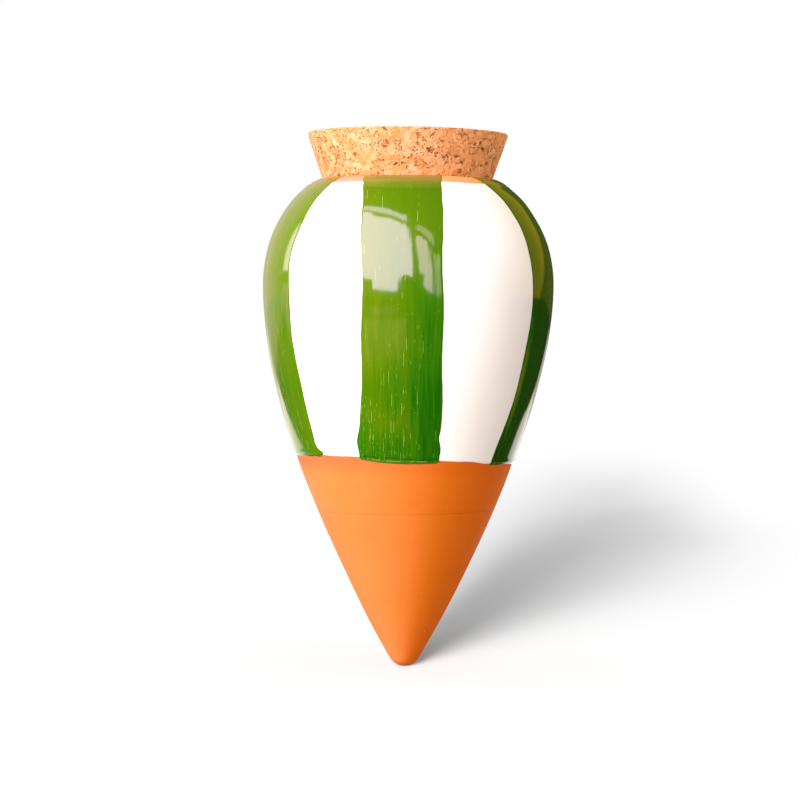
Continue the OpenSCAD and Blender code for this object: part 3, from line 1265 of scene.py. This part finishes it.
@dataclass
class BrushedStripe:
    """One green stroke from the dip line up over the shoulder to the mouth.

    A wash is a share of the load, and the two distances above the foot between which it sets in.
    """

    outline: Outline
    number: int
    azimuth: float
    foot: float
    tilt: float = 0.0
    sag: float = 0.4
    load: float = 0.0
    fall: float = 0.3
    skew: float = 0.0
    light_streak_at: float = 40.0
    corners: Pair = (2.2, 2.2)
    bulges: tuple[Bulge, ...] = ()
    width: float = 29.2
    bow: float = 1.2
    wave: float = 0.25
    wave_length: float = 34.0
    columns: int = 66
    sunk: float = 0.12
    top_z: float = 176.5
    fine_w: float = 5.0
    foot_reach: float = 7.0
    foot_drop: float = 1.5
    edge_w: float = 0.45
    body: float = 0.8
    bedding: float = 0.02
    apart: float = 37.0
    washes: tuple[Triple, ...] = (
        (0.15, 100.0, 62.0),
        (0.20, 45.0, 25.0),
        (0.18, 16.0, 1.0),
        (0.17, 70.0, 98.0),
    )

    def edge(self, side: int, height: float) -> float:
        """Where one edge of the stroke lies, sideways from its middle.

        Args:
            side: -1 for the left edge and 1 for the right one, seen from outside.
            height: Height above the point.

        Returns:
            The sideways distance, positive to the right.
        """
        nominal_foot = self.outline.dip_z - self.foot_drop
        run = height - nominal_foot
        length = self.outline.vessel_h - nominal_foot
        place = side * self.width / 2.0 - self.bow * (2.0 * run / length - 1.0) ** 2
        phase = 360.0 * run / self.wave_length + 80.0 * self.number + 50.0 * side
        place += self.wave * math.sin(math.radians(phase))
        place += 0.14 * noise.noise(Vector((height / 4.5, 3.0 * side, self.number)))
        for bulge in self.bulges:
            if bulge.side == side:
                place += side * bulge.reach * hump(height - bulge.height, bulge.length)
        radius = self.corners[0 if side < 0 else 1]
        rise = height - self.foot_at(side * self.width / 2.0)
        if rise < radius:
            place -= side * (radius - math.sqrt(max(0.0, radius**2 - (radius - max(0.0, rise)) ** 2)))
        return place

    def foot_at(self, sideways: float) -> float:
        """Height at which the stroke ends.

        Args:
            sideways: Place across the stroke, from its middle to the right.

        Returns:
            Height above the point.
        """
        share = 2.0 * sideways / self.width
        ripple = 0.12 * noise.noise(Vector((sideways / 3.0, 7.7, self.number)))
        return self.foot + self.tilt * share - self.sag * (1.0 - share * share) + ripple

    def rows(self) -> list[float]:
        """Where the rows of the stroke's mesh lie.

        Returns:
            Stations from the foot up to the lip, close together at both ends.
        """
        o = self.outline
        above, top = o.station(self.foot + self.fine_w), o.station(self.top_z)
        fine = o.stations(o.station(self.foot), above, o.fine_step)
        return fine + o.stations(above, top, 0.85)[1:] + o.stations(top, 2.0, 0.22)[1:]

    def thickness(self, gap: float, rise: float, across: float, along: float) -> float:
        """Thickness of the stroke near its rounded edges.

        Args:
            gap: Distance to the nearer side edge.
            rise: Distance to the lower end.
            across: Sideways place on the stroke.
            along: Height above the point.

        Returns:
            The thickness above what is underneath.
        """
        rounded = math.sqrt(max(0.0, 1.0 - max(0.0, 1.0 - min(gap, rise) / self.edge_w) ** 2))
        pooled = 0.05 * hump(rise - 0.9, 0.6) + 0.02 * hump(gap - 0.7, 0.4)
        ridge = 0.012 * noise.noise(Vector((across * 1.6, along * 0.05, self.number)))
        return (self.body * self.outline.stripe_t + pooled + ridge) * rounded - self.bedding

    def laid(self, across: float, along: float) -> float:
        """Load of glaze that the brush left: thin at the mouth, heavy towards the foot.

        Args:
            across: Sideways place on the stroke.
            along: Distance above the foot.

        Returns:
            The load, 0 for a thin wash and 1 for a heavy one.
        """
        sunk = sum(share * smooth(low, high, along) for share, low, high in self.washes)
        sided = 0.36 * smooth(0.0, 8.0, across) * smooth(88.0, 48.0, along)
        sided *= 0.5 + 0.5 * smooth(1.0, 18.0, along)
        sided -= 0.16 * smooth(-2.0, -13.0, across) * smooth(6.0, 32.0, along)
        sided -= 0.14 * hump(across + 3.0, 7.0) * hump(along - 14.0, 5.0)
        # A lighter streak along the stroke, drawn as less glaze.
        streak = 1.2 * hump(across - self.light_streak_at, 1.3) * hump(along - 30.0, 17.0)
        return 0.25 + self.load + self.fall * sunk + self.skew * sided - streak

    def azimuth_of(self, across: float, radius: float) -> float:
        """Azimuth of a place across the stroke, at its distance from the axis."""
        return self.azimuth + math.degrees(math.asin(max(-0.99, min(0.99, across / radius))))

    def build(self) -> bpy.types.Object:
        """Wraps a thin slab onto the vessel.

        Returns:
            The stripe's object.
        """
        o = self.outline
        rows = self.rows()
        count = len(rows) - 1
        mesh = bmesh.new()
        bmesh.ops.create_grid(mesh, x_segments=self.columns, y_segments=count, size=1.0)
        lower = bmesh.ops.extrude_face_region(mesh, geom=mesh.faces[:], use_keep_orig=True)["geom"]
        for vert in lower:
            if isinstance(vert, bmesh.types.BMVert):
                vert.co.z = -1.0
        stroke = mesh.verts.layers.float_vector.new("stroke")
        load = mesh.verts.layers.float.new("load")
        mouth = mesh.verts.layers.float.new("mouth")
        heights = [o.surface(station).y for station in rows]
        sides = [(self.edge(-1, height), self.edge(1, height)) for height in heights]
        for vert in mesh.verts:
            column, under = (vert.co.x + 1.0) / 2.0, vert.co.z < -0.5
            row = round((vert.co.y + 1.0) / 2.0 * count)
            station, height, (left, right) = rows[row], heights[row], sides[row]
            rise = height - self.foot
            spaced = column - 0.03 * math.sin(2.0 * math.tau * (column - 0.5))
            across = left + (right - left) * spaced
            if rise < self.foot_reach:
                move = (self.foot_at(across) - self.foot) * smooth(self.foot_reach, 0.0, rise)
                station = o.station(height + move)
            azimuth = self.azimuth_of(across, o.surface(station).x)
            white = o.white_gap(azimuth, station)
            gap = min(across - left, right - across)
            coat = max(0.0, o.coat(white))
            offset = coat - self.sunk if under else coat + self.thickness(gap, rise, across, height)
            radius, level = o.surface(station, offset)
            vert.co = around(self.azimuth_of(across, radius), radius, level)
            vert[stroke] = Vector((across, rise, self.apart * self.number)) * MM
            vert[mouth] = smooth(3.4, -1.4, white) if height > o.belly_z else 0.0
            vert[load] = self.laid(across, rise) + 0.3 * hump(rise - 0.2, 0.9)
        reshape(mesh, o.thrown)
        bmesh.ops.recalc_face_normals(mesh, faces=mesh.faces)
        return finish_mesh(mesh, f"green_brush_stroke_{self.number}")


@dataclass(frozen=True)
class Pit:
    """A pit in the cork's skin, longer along its axis than across it."""

    place: Vector
    axis: Vector
    length: float
    depth: float

    def depth_at(self, place: Vector) -> float:
        """How deep the pit is at a place.

        Args:
            place: A place on the skin, in millimetres.

        Returns:
            The depth in millimetres, 0 outside the pit.
        """
        away = place - self.place
        ragged = 0.9 + 1.4 * noise.noise(place * 2.1)
        reach = away.dot(self.axis) / self.length
        side = (away - away.dot(self.axis) * self.axis).length / (0.30 * self.length)
        inside = 1.0 - (reach * reach + side * side) * ragged
        return self.depth * min(1.0, max(0.0, inside * 1.6))


@dataclass
class CorkStopper:
    """The tapered stopper of pressed cork, with pits and grains in its skin."""

    outline: Outline
    steps: int = 400
    edge_r: float = 0.45
    lean: float = 0.25
    aside: float = -0.4
    seed: int = 11
    pit_count: int = 230
    pit_reach: float = 3.2
    pit_full: float = 0.28
    pit_length: Pair = (0.4, 1.1)
    pit_depth: Pair = (0.15, 0.35)
    side_share: float = 0.55
    crust: float = 0.07
    skin_below: float = 3.5
    flare: float = 0.38
    flare_r: float = 37.0

    def edge(self, height: float, first: float, last: float, steps: int) -> list[Pair]:
        """Points round one of the cork's two edges.

        Args:
            height: Height of the edge's centre.
            first: Angle of the first point in degrees.
            last: Angle of the last point.
            steps: Steps between the two.

        Returns:
            The points, with both ends.
        """
        inset = self.edge_r / math.cos(self.outline.cork_taper)
        return arc((self.outline.cork_radius(height) - inset, height), self.edge_r, first, last, steps)

    def section(self) -> list[Pair]:
        """The cork's section.

        Returns:
            Points from the middle of the bottom round the side to the middle of the top.
        """
        o = self.outline
        low, high, taper = o.cork_bottom_z, o.cork_top_z, math.degrees(o.cork_taper)
        points: list[Pair] = [(radius, low) for radius in (0.0, 3.0, 8.0, 14.0, 20.0, 25.0)]
        points += self.edge(low + self.edge_r, -90.0, -taper, 4)
        hidden = o.vessel_h - 2.0
        side = [low + 1.2 + (hidden - low - 1.2) * i / 7 for i in range(8)]
        side += [hidden + (high - 0.7 - hidden) * i / 44 for i in range(1, 45)]
        points += [(o.cork_radius(height), height) for height in side]
        points += self.edge(high - self.edge_r, -taper, 90.0, 6)
        crest = points[-1][0]
        points += [(crest * (1.0 - i / 58), high) for i in range(1, 58)]
        return [*points, (0.0, high)]

    def flared(self, azimuth: float, radius: float, height: float) -> Pair:
        """Spreads the cork a little above the mouth, where nothing holds it in."""
        spread = self.flare * smooth(self.outline.vessel_h, self.outline.cork_top_z, height)
        return radius * (1.0 + spread / self.flare_r), height

    def pits(self) -> tuple[kdtree.KDTree, list[Pit]]:
        """Scatters pits over the cork's skin.

        Returns:
            A search tree of their places, and the pits.
        """
        o = self.outline
        draw = random.Random(self.seed)
        found: list[Pit] = []
        for _ in range(self.pit_count):
            azimuth = draw.uniform(-180.0, 180.0)
            if draw.random() < self.side_share:
                height = draw.uniform(o.vessel_h - 3.0, o.cork_top_z - 0.3)
                place = around(azimuth, o.cork_radius(height), height) / MM
                turn = math.radians(azimuth)
                axis = Vector((math.cos(turn), math.sin(turn), draw.uniform(-0.9, 0.9))).normalized()
            else:
                place = around(azimuth, 36.5 * math.sqrt(draw.random()), o.cork_top_z) / MM
                turn = draw.uniform(0.0, math.tau)
                axis = Vector((math.cos(turn), math.sin(turn), 0.0))
            size = draw.random() ** 2
            length, depth = (low + more * size for low, more in (self.pit_length, self.pit_depth))
            found.append(Pit(place, axis, length, depth))
        tree = kdtree.KDTree(len(found))
        for index, pit in enumerate(found):
            tree.insert(pit.place, index)
        tree.balance()
        return tree, found

    def build(self) -> bpy.types.Object:
        """Spins the cork, sinks its pits, raises its grains and leans it in its seat.

        Returns:
            The cork's object.
        """
        o = self.outline
        mesh = revolve(self.section(), self.steps, closed=False)
        mesh.normal_update()
        tree, pits = self.pits()
        layer = mesh.verts.layers.float.new("pit")
        moves = []
        for vert in mesh.verts:
            place = vert.co / MM
            if place.z < o.vessel_h - self.skin_below:
                continue
            near = tree.find_range(place, self.pit_reach)
            depth = max((pits[index].depth_at(place) for _, index, _ in near), default=0.0)
            grain = self.crust * (noise.noise(place * 0.55) + 0.6 * noise.noise(place * 1.4) - 1.0)
            # The pit attribute carries each pit's depth, for the painted shade in it.
            vert[layer] = min(1.0, depth / self.pit_full)
            moves.append((vert, -vert.normal * (depth - min(0.0, grain)) * MM))
        for vert, move in moves:
            vert.co += move
        reshape(mesh, self.flared)
        pivot = Vector((0.0, 0.0, o.vessel_h * MM))
        turn = Matrix.Rotation(math.radians(self.lean), 3, "Y")
        bmesh.ops.rotate(mesh, cent=pivot, matrix=turn, verts=mesh.verts)
        drop = max(vert.co.z for vert in mesh.verts) - o.cork_top_z * MM
        bmesh.ops.translate(mesh, vec=(self.aside * MM, 0.0, -drop), verts=mesh.verts)
        return finish_mesh(mesh, "cork_bung")


# ---- Studio ----


@dataclass(frozen=True)
class Pane:
    """A bright pane that only the gloss shows, with corners by azimuth and elevation from the belly."""

    name: str
    light: Colour
    corners: tuple[Pair, ...]
    distance: float = 1400.0
    fade: Pair | None = None

    def hang(self) -> None:
        """Hangs the pane in the scene, faded below if it has heights between which it fades."""
        mesh = bmesh.new()
        places = [mesh.verts.new(aloft(*corner, self.distance, PANE_LEVEL)) for corner in self.corners]
        bmesh.ops.triangulate(mesh, faces=[mesh.faces.new(places)])
        pane = finish_mesh(mesh, self.name)
        material = bpy.data.materials.new(self.name + "_light")
        n = emptied(material)
        share: float | Socket = 1.0
        if self.fade:
            share = n.step(n.parts(n.place())[2], self.fade[0] * MM, self.fade[1] * MM)
        n.add("ShaderNodeOutputMaterial", {"Surface": n.glow(n.mix(share, (0.04, 0.035, 0.03), self.light))})
        pane.data.materials.append(material)
        for kind in ("camera", "diffuse", "transmission", "volume_scatter", "shadow"):
            setattr(pane, f"visible_{kind}", False)


@dataclass(frozen=True)
class Lamp:
    """A lamp that looks at the belly and that no gloss shows."""

    name: str
    azimuth: float
    elevation: float
    energy: float
    colour: Colour = (1.0, 1.0, 1.0)
    size: Pair = (1.3, 0.9)
    spread: float | None = None

    def hang(self, lit: bpy.types.Collection) -> None:
        """Hangs a sun if the lamp has a spread in degrees, and otherwise a bright rectangle.

        Args:
            lit: The only things that the lamp lights.
        """
        data = bpy.data.lights.new(self.name, "AREA" if self.spread is None else "SUN")
        data.energy = self.energy
        data.color = self.colour
        if self.spread is None:
            data.shape = "RECTANGLE"
            data.size, data.size_y = self.size
        else:
            data.angle = math.radians(self.spread)
        lamp = bpy.data.objects.new(self.name, data)
        lamp.location = aloft(self.azimuth, self.elevation, LAMP_DISTANCE, LAMP_LEVEL)
        aim = Vector((0.0, 0.0, LAMP_LEVEL * MM)) - lamp.location
        lamp.rotation_euler = aim.to_track_quat("-Z", "Y").to_euler()
        bpy.context.scene.collection.objects.link(lamp)
        lamp.light_linking.receiver_collection = lit
        lamp.visible_glossy = False


def receivers(name: str, pieces: Sequence[bpy.types.Object]) -> bpy.types.Collection:
    """Collects the pieces that a lamp lights.

    Args:
        name: Name of the collection.
        pieces: The pieces.

    Returns:
        The collection.
    """
    lit = bpy.data.collections.new(name)
    for piece in pieces:
        lit.objects.link(piece)
    return lit


@dataclass
class Studio:
    """The pale floor, the bright backdrop, the window and the lamps.

    A side of the bright sheet that the floor shows only to the gloss is its lean and the two places between
    which it fades. A low sun is its azimuth, elevation and spread in degrees, and its share of the floor's
    light.
    """

    floor_half: float = 4.0
    tint: Colour = (1.0, 0.895, 0.80)
    paper: float = 0.408
    bounce: float = 0.31
    level: float = 0.76
    sheet_sides: tuple[Triple, ...] = ((-0.365, -0.180, -0.164), (0.556, 0.127, 0.113), (0.29, 0.212, 0.196))
    low_suns: tuple[tuple[float, float, float, float], ...] = (
        (-6.0, 6.0, 5.0, 0.083),
        (-9.0, 8.0, 5.0, 0.208),
        (-12.0, 12.0, 5.0, 0.202),
        (-15.0, 16.0, 5.0, 0.073),
        (-18.0, 14.0, 9.0, 0.082),
        (-24.0, 24.0, 14.0, 0.060),
    )
    panes: tuple[Pane, ...] = (
        Pane("window_main", SKY, (
            (-67.0, 56.9), (-57.3, 56.6), (-50.1, 57.3), (-45.8, 57.1), (-42.1, 56.0), (-37.8, 55.8),
            (-29.3, 56.1), (-19.7, 56.0), (-8.8, 53.2), (-3.2, 50.6), (0.0, 48.1), (0.8, 40.7), (3.1, 24.5),
            (3.7, 14.5), (3.4, 6.7), (2.6, 5.2), (0.2, 6.8), (-3.4, 7.2), (-5.6, 5.6), (-6.9, 3.0),
            (-7.7, 0.1), (-8.3, -2.9), (-17.7, -2.5), (-27.1, -1.8), (-27.2, 2.4), (-33.4, 4.4),
            (-66.0, 4.4),
        )),
        Pane("window_bar", (1.8, 1.0, 0.7), (
            (-67.0, 56.5), (-44.0, 56.0), (-30.0, 55.0), (-8.5, 52.4), (0.2, 47.8), (0.1, 52.6),
            (-1.1, 53.1), (-9.4, 56.8), (-18.6, 58.9), (-32.1, 59.7), (-45.7, 59.2), (-67.0, 57.7),
        ), 1410.0),
        Pane("window_fanlight", scaled(SKY, 0.70), (
            (-68.0, 59.7), (-51.0, 62.4), (-36.5, 63.7), (-23.2, 63.1), (-10.5, 60.9), (-4.3, 60.2),
            (-1.3, 57.7), (-0.6, 53.5), (-9.4, 56.7), (-18.6, 58.7), (-32.1, 59.5), (-45.7, 59.1),
            (-60.3, 58.0), (-68.0, 57.9),
        )),
        Pane("window_second", (9.6, 5.88, 7.2), (
            (6.9, 40.7), (11.3, 39.6), (16.4, 33.4), (17.5, 24.6), (16.9, 20.0), (17.6, 17.0), (18.0, 12.7),
            (19.1, -3.3), (18.3, -3.3), (11.2, -0.4), (11.5, 6.7), (8.4, 11.9), (8.0, 21.0), (6.4, 32.2),
        )),
        Pane("window_second_fanlight", (5.4, 3.5, 3.4), (
            (7.3, 46.2), (7.8, 50.4), (11.3, 51.0), (16.6, 47.9), (21.2, 43.1), (22.0, 36.6), (22.4, 30.3),
            (21.5, 29.9), (16.9, 37.8), (11.9, 44.1),
        )),
        Pane("window_third", (5.2, 3.6, 3.0), (
            (20.1, 24.6), (22.7, 23.2), (23.9, 15.5), (24.4, 4.9), (25.8, -3.7), (23.6, -4.6), (21.6, -3.3),
            (20.9, 1.9), (20.5, 11.3),
        )),
        Pane("side_window", (7.0, 4.9, 5.0), (
            (-104.5, 6.9), (-115.3, 6.2), (-116.6, 13.0), (-118.0, 20.5), (-118.8, 28.7), (-117.3, 28.7),
            (-107.5, 16.9), (-104.5, 9.0),
        )),
        Pane("side_wall", (2.5, 1.2, 1.3), (
            (-96.0, 1.0), (-111.4, 0.7), (-110.5, -3.3), (-109.0, -8.0), (-104.5, -16.0), (-100.0, -25.0),
            (-96.0, -27.0),
        ), 500.0, fade=(5.0, 170.0)),
        Pane("side_shelf", (3.2, 1.9, 1.9), (
            (-96.0, 1.0), (-104.0, 1.0), (-102.5, -7.0), (-99.5, -14.0), (-96.0, -14.0),
        ), 490.0),
        Pane("window_sill", (1.2, 0.65, 0.5), (
            (-29.0, -8.6), (-9.0, -8.9), (-9.0, -11.0), (-29.0, -11.0),
        ), 600.0, fade=(20.0, 56.0)),
        Pane("table_glow", (1.1, 0.70, 0.38), (
            (-33.0, -11.4), (-0.5, -11.8), (-1.0, -28.0), (-35.0, -27.0),
        ), 320.0, fade=(-2.0, 82.0)),
    )

    def floor(self) -> bpy.types.Object:
        """Lays the floor, which looks white and keeps the olla's shadow.

        Returns:
            The floor's object.
        """
        mesh = bmesh.new()
        bmesh.ops.create_grid(mesh, x_segments=8, y_segments=8, size=self.floor_half)
        floor = finish_mesh(mesh, "pale_floor")
        material = bpy.data.materials.new("pale_paper")
        n = emptied(material)
        path = n.add("ShaderNodeLightPath").outputs
        place = n.place()
        x, y, _ = n.parts(place)
        paper = [tuple(self.paper * shade / part for part in self.tint) for shade in (1.0, 1.02)]
        seen = n.add("ShaderNodeBsdfDiffuse", {"Color": n.mix(n.noise(place, 900.0, 2.0), *paper)}).outputs[0]
        seen = n.blend(n.step(y, 2.2, 3.2), seen, n.glow(WHITE))
        grey = (self.bounce, self.bounce, self.bounce, 1.0)
        lit = n.add("ShaderNodeBsdfDiffuse", {"Color": grey}).outputs[0]
        # To the gloss the floor shows painted glows rather than lit paper: a bright sheet just behind the
        # olla, warm patches further back on the left, and dark elsewhere.
        gloss_sheet_glow = n.times(n.step(y, 0.11, 0.14), n.step(y, 0.86, 0.74, 0.4, 1.0))
        for lean, low, high in self.sheet_sides:
            gloss_sheet_glow = n.times(gloss_sheet_glow, n.step(n.minus(x, n.times(y, lean)), low, high))
        beyond = n.times(n.step(y, 0.05, 0.35), n.step(x, 0.0, -0.06))
        sheen = n.over(
            n.mix(beyond, (0.03, 0.025, 0.015), (0.17, 0.10, 0.07)),
            (n.times(n.step(y, 0.5, 0.9), n.step(x, -0.15, -0.3)), (0.95, 0.52, 0.45)),
            (n.times(beyond, n.step(y, 1.0, 1.6)), (0.90, 0.76, 0.60)),
            (gloss_sheet_glow, (1.9, 1.72, 1.55)),
        )
        first = n.blend(path["Is Camera Ray"], lit, seen)
        last = n.blend(path["Is Glossy Ray"], first, n.glow(sheen))
        n.add("ShaderNodeOutputMaterial", {"Surface": last})
        floor.data.materials.append(material)
        return floor

    def world(self) -> None:
        """Makes the room: white to the camera, a soft glow on the olla, and a dim room in its gloss."""
        world = bpy.data.worlds.new("studio_room")
        bpy.context.scene.world = world
        n = emptied(world)
        path = n.add("ShaderNodeLightPath").outputs
        x, y, z = n.parts(n.add("ShaderNodeTexCoord").outputs["Generated"])
        slant = n.plus(x, n.times(z, 1.03))
        right = n.mix(n.step(slant, 0.73, 0.82), (0.18, 0.15, 0.02), (0.95, 0.70, 0.05))
        left = n.mix(n.step(y, 0.66, 0.48), (1.30, 0.84, 0.65), (0.95, 0.75, 0.22))
        limb = n.mix(n.step(x, -0.05, 0.05), (0.77, 0.72, 0.57), (0.08, 0.11, 0.04))
        room = n.over(
            n.mix(n.step(y, -0.25, 0.15), (0.03, 0.028, 0.025), n.mix(n.step(x, -0.05, 0.05), left, right)),
            (n.step(z, 0.55, 0.85), (0.05, 0.05, 0.05)),
            (n.step(y, 0.885, 0.955), limb),
        )
        shown = n.over(
            n.mix(path["Is Glossy Ray"], scaled(self.tint, self.level), room),
            (path["Is Camera Ray"], WHITE[:3]),
            (path["Is Transmission Ray"], WHITE[:3]),
        )
        glow = n.add("ShaderNodeBackground", {"Color": shown, "Strength": 1.0}).outputs[0]
        n.add("ShaderNodeOutputWorld", {"Surface": glow})

    def window(self) -> None:
        """Hangs the window and the smaller bright things that the glaze mirrors."""
        for pane in self.panes:
            pane.hang()

    def lamps(self, floor: bpy.types.Object, pieces: Sequence[bpy.types.Object]) -> None:
        """Lights the olla from the window's side, and lets low suns lay its shadow on the floor.

        Args:
            floor: The floor, which only the low suns light.
            pieces: The olla's pieces, which the other lamps light.
        """
        clay = [piece for piece in pieces if piece.name == "clay_vessel"]
        cork = [piece for piece in pieces if piece.name == "cork_bung"]
        glazed = [piece for piece in pieces if piece not in clay]
        lamps = (
            (Lamp("window_glow", -43.0, 22.0, 57.0, (1.0, 0.985, 0.96)), glazed),
            (Lamp("clay_glow", -47.5, 22.0, 67.83, (0.72, 0.985, 0.96)), clay),
            (Lamp("pale_bloom", -68.0, -3.0, 640.0, (0.0, 0.02, 1.0), (0.3, 0.3)), clay),
            (Lamp("cork_glow", 75.0, -5.0, 13.0, (1.0, 0.80, 0.25), (0.9, 0.9)), cork),
            (Lamp("rear_glow", 176.0, 28.0, 0.7, size=(0.9, 0.7)), pieces),
        )
        for lamp, lit in lamps:
            lamp.hang(receivers(f"lit_by_{lamp.name}", lit))
        on_floor = receivers("lit_by_low_suns", [floor])
        for number, (azimuth, elevation, spread, share) in enumerate(self.low_suns, 1):
            energy = share * math.pi / (self.paper * math.sin(math.radians(elevation)))
            Lamp(f"low_sun_{number}", azimuth, elevation, energy, self.tint, spread=spread).hang(on_floor)


@dataclass
class PhotoCamera:
    """The camera, in front of the olla and a little above its belly."""

    distance: float = 950.0
    height: float = 126.0
    sideways: float = -2.4
    pitch: float = 1.56
    roll: float = 0.5
    lens: float = 113.79
    sensor: float = 36.0

    def build(self) -> bpy.types.Object:
        """Sets the camera up and makes it the scene's.

        Returns:
            The camera's object.
        """
        data = bpy.data.cameras.new("photo_camera")
        data.lens = self.lens
        data.sensor_width = self.sensor
        camera = bpy.data.objects.new("photo_camera", data)
        tilt = Matrix.Rotation(math.radians(90.0 - self.pitch), 4, "X")
        turned = tilt @ Matrix.Rotation(math.radians(self.roll), 4, "Z")
        place = Matrix.Translation(Vector((self.sideways, -self.distance, self.height)) * MM)
        camera.matrix_world = place @ turned
        bpy.context.scene.collection.objects.link(camera)
        bpy.context.scene.camera = camera
        return camera


def stripes(outline: Outline) -> list[BrushedStripe]:
    """The five strokes, from the left one round by the front.

    Args:
        outline: The vessel's outline.

    Returns:
        One stripe for each node of the solid model.
    """
    blob = (Bulge(1, 81.2, 2.3, 1.4), Bulge(1, 85.0, -0.4, 1.8), Bulge(1, 163.0, 0.9, 7.0))
    flare = (
        Bulge(-1, 86.0, 0.9, 4.0),
        Bulge(1, 83.5, 0.4, 2.0),
        Bulge(1, 88.0, -0.4, 2.0),
        Bulge(-1, 183.5, -0.9, 1.8),
    )
    return [
        BrushedStripe(outline, 1, -68.0, 79.6, tilt=0.3, sag=0.1, load=0.08, corners=(1.5, 1.2), bulges=blob),
        BrushedStripe(
            outline, 2, -2.0, 78.9, tilt=-0.35, sag=0.85, fall=1.0, skew=1.0, corners=(0.6, 1.7), bulges=flare
        ),
        BrushedStripe(
            outline, 3, 72.0, 77.3, tilt=0.1, sag=0.2, load=0.85, light_streak_at=-13.3, corners=(0.8, 1.2)
        ),
        BrushedStripe(outline, 4, 144.0, 76.6, tilt=-0.3, sag=0.5, load=0.3, fall=0.6, skew=0.6),
        BrushedStripe(outline, 5, -140.0, 77.6, tilt=0.4, sag=0.3, load=0.2, fall=0.8, skew=-0.5),
    ]


def main() -> None:
    """Builds the olla's pieces, dresses them, and sets up the studio round them."""
    logging.basicConfig(level=logging.INFO, format="%(name)s: %(message)s")
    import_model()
    PhotoCamera().build()
    outline, effects = Outline(), Effects()
    clay, white = ClayFinish().material(effects), WhiteGlazeFinish().material(effects)
    green, cork = BrushedGreenFinish().material(effects), CorkFinish().material(effects)
    plan = [
        (ClayVessel(outline).build(), clay, Body.VESSEL, Slot.TERRACOTTA, "terracotta_vessel"),
        (WhiteCoat(outline).build(), white, Body.VESSEL, Slot.WHITE_GLAZE, "white_glaze"),
        *(
            (stripe.build(), green, Body.VESSEL, Slot.GREEN_GLAZE, f"green_stripe_{stripe.number}")
            for stripe in stripes(outline)
        ),
        (CorkStopper(outline).build(), cork, Body.STOPPER, Slot.CORK, "cork_stopper"),
    ]
    for piece, material, body, slot, node in plan:
        piece.data.materials.append(material)
        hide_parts(node)
        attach(piece, body.value)
        LOG.info("%s stands for %s with %d faces", piece.name, node, len(piece.data.polygons))

    studio = Studio()
    studio.world()
    studio.window()
    studio.lamps(studio.floor(), [entry[0] for entry in plan])
    bpy.context.scene.view_settings.view_transform = "Standard"


if __name__ == "__main__":
    main()
